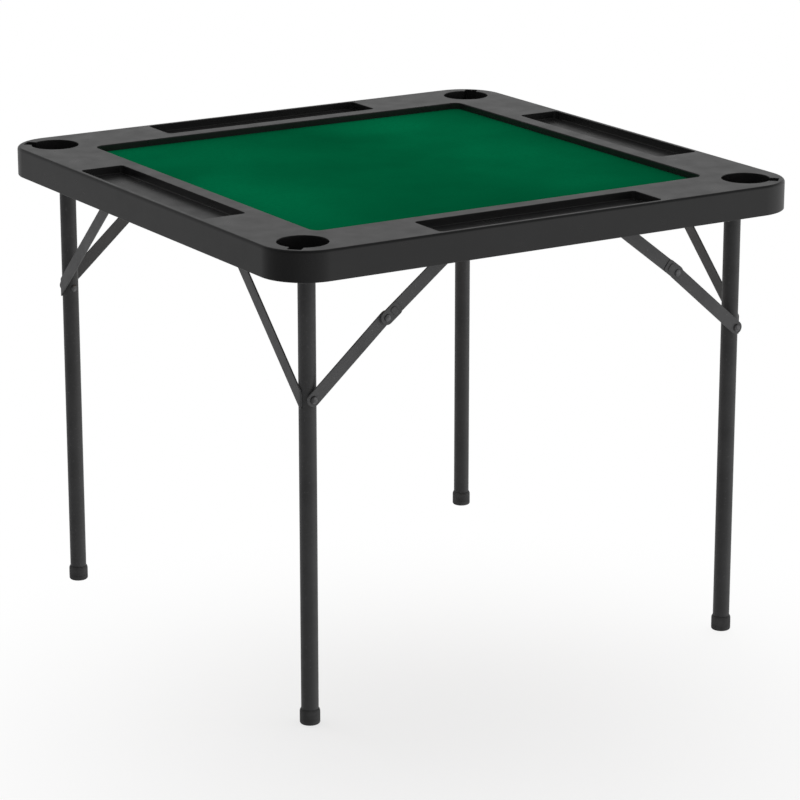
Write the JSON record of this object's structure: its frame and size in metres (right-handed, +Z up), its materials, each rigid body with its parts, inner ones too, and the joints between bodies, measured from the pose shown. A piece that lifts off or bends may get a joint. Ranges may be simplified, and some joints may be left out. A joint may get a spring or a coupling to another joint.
{
  "type": "folding square game table",
  "caption": "Folding square card and tile table: moulded rim with cup wells and trays round a green felt surface, on two tube leg frames that fold flat under it.",
  "frame": {"origin": "on the floor under the centre of the table top", "axes": "+Z up, +X from the left leg frame to the right one, -Y the front; the leg frames fold about axes along Y"},
  "size_m": [0.889, 0.889, 0.716],
  "materials": {
    "rim_plastic": "fine moulded grain, near black",
    "felt": "short pile green felt",
    "board": "fibreboard, unpainted underside",
    "steel_tube": "satin black powder coat",
    "steel_bar": "satin dark grey powder coat",
    "lock_plate": "satin black, worn at the edges",
    "rubber": "matt black rubber",
    "zinc": "dark zinc plate"
  },
  "bodies": {
    "top": {"rim_frame": "rim_plastic", "playing_board": "board", "felt_cloth": "felt", "rail_front": "steel_tube", "rail_rear": "steel_tube", "rail_screws": "zinc", "pivot_bolts": "zinc", "brace_pins": "zinc"},
    "left_frame": {"leg_left_front": "steel_tube", "leg_left_rear": "steel_tube", "crossbar_left": "steel_tube", "strut_left_front": "steel_bar", "strut_left_rear": "steel_bar", "foot_left_front": "rubber", "foot_left_rear": "rubber", "leg_plugs_left": "rubber", "leg_rivets_left": "zinc"},
    "right_frame": {"leg_right_front": "steel_tube", "leg_right_rear": "steel_tube", "crossbar_right": "steel_tube", "pivot_bracket_front": "steel_tube", "pivot_bracket_rear": "steel_tube", "strut_right_front": "steel_bar", "strut_right_rear": "steel_bar", "foot_right_front": "rubber", "foot_right_rear": "rubber", "leg_plugs_right": "rubber", "leg_rivets_right": "zinc"},
    "lower_left_front": {"lower_link_left_front": "steel_bar", "knee_rivet_left_front": "zinc"},
    "upper_left_front": {"upper_link_left_front": "steel_bar", "knee_plate_left_front": "lock_plate"},
    "lower_left_rear": {"lower_link_left_rear": "steel_bar", "knee_rivet_left_rear": "zinc"},
    "upper_left_rear": {"upper_link_left_rear": "steel_bar", "knee_plate_left_rear": "lock_plate"},
    "lower_right_front": {"lower_link_right_front": "steel_bar", "knee_rivet_right_front": "zinc"},
    "upper_right_front": {"upper_link_right_front": "steel_bar", "knee_plate_right_front": "lock_plate"},
    "lower_right_rear": {"lower_link_right_rear": "steel_bar", "knee_rivet_right_rear": "zinc"},
    "upper_right_rear": {"upper_link_right_rear": "steel_bar", "knee_plate_right_rear": "lock_plate"}
  },
  "joints": [
    {"name": "left_fold", "type": "hinge", "parent": "top", "child": "left_frame", "pos_m": [-0.37, 0, 0.668], "axis": [0, -1, 0], "range_deg": [0, 90]},
    {"name": "right_fold", "type": "hinge", "parent": "top", "child": "right_frame", "pos_m": [0.342, 0, 0.665], "axis": [0, 1, 0], "range_deg": [0, 90]},
    {"name": "lower_pivot_left_front", "type": "hinge", "parent": "left_frame", "child": "lower_left_front", "pos_m": [-0.37, -0.38665, 0.488], "axis": [0, -1, 0], "range_deg": [-136, 0]},
    {"name": "upper_pivot_left_front", "type": "hinge", "parent": "top", "child": "upper_left_front", "pos_m": [-0.155, -0.38965, 0.665], "axis": [0, -1, 0], "range_deg": [0, 137.7]},
    {"name": "lower_pivot_left_rear", "type": "hinge", "parent": "left_frame", "child": "lower_left_rear", "pos_m": [-0.37, 0.38665, 0.488], "axis": [0, -1, 0], "range_deg": [-136, 0]},
    {"name": "upper_pivot_left_rear", "type": "hinge", "parent": "top", "child": "upper_left_rear", "pos_m": [-0.155, 0.38965, 0.665], "axis": [0, -1, 0], "range_deg": [0, 137.7]},
    {"name": "lower_pivot_right_front", "type": "hinge", "parent": "right_frame", "child": "lower_right_front", "pos_m": [0.37, -0.38665, 0.488], "axis": [0, 1, 0], "range_deg": [-125.1, 0]},
    {"name": "upper_pivot_right_front", "type": "hinge", "parent": "top", "child": "upper_right_front", "pos_m": [0.146, -0.38965, 0.672], "axis": [0, 1, 0], "range_deg": [0, 134.7]},
    {"name": "lower_pivot_right_rear", "type": "hinge", "parent": "right_frame", "child": "lower_right_rear", "pos_m": [0.37, 0.38665, 0.488], "axis": [0, 1, 0], "range_deg": [-125.1, 0]},
    {"name": "upper_pivot_right_rear", "type": "hinge", "parent": "top", "child": "upper_right_rear", "pos_m": [0.146, 0.38965, 0.672], "axis": [0, 1, 0], "range_deg": [0, 134.7]}
  ],
  "couplings": [
    {"joint": "lower_pivot_left_front", "follows": "left_fold", "ratio": -1.5099},
    {"joint": "upper_pivot_left_front", "follows": "left_fold", "ratio": 1.529},
    {"joint": "lower_pivot_left_rear", "follows": "left_fold", "ratio": -1.5099},
    {"joint": "upper_pivot_left_rear", "follows": "left_fold", "ratio": 1.529},
    {"joint": "lower_pivot_right_front", "follows": "right_fold", "ratio": -1.3884},
    {"joint": "upper_pivot_right_front", "follows": "right_fold", "ratio": 1.4952},
    {"joint": "lower_pivot_right_rear", "follows": "right_fold", "ratio": -1.3884},
    {"joint": "upper_pivot_right_rear", "follows": "right_fold", "ratio": 1.4952}
  ]
}
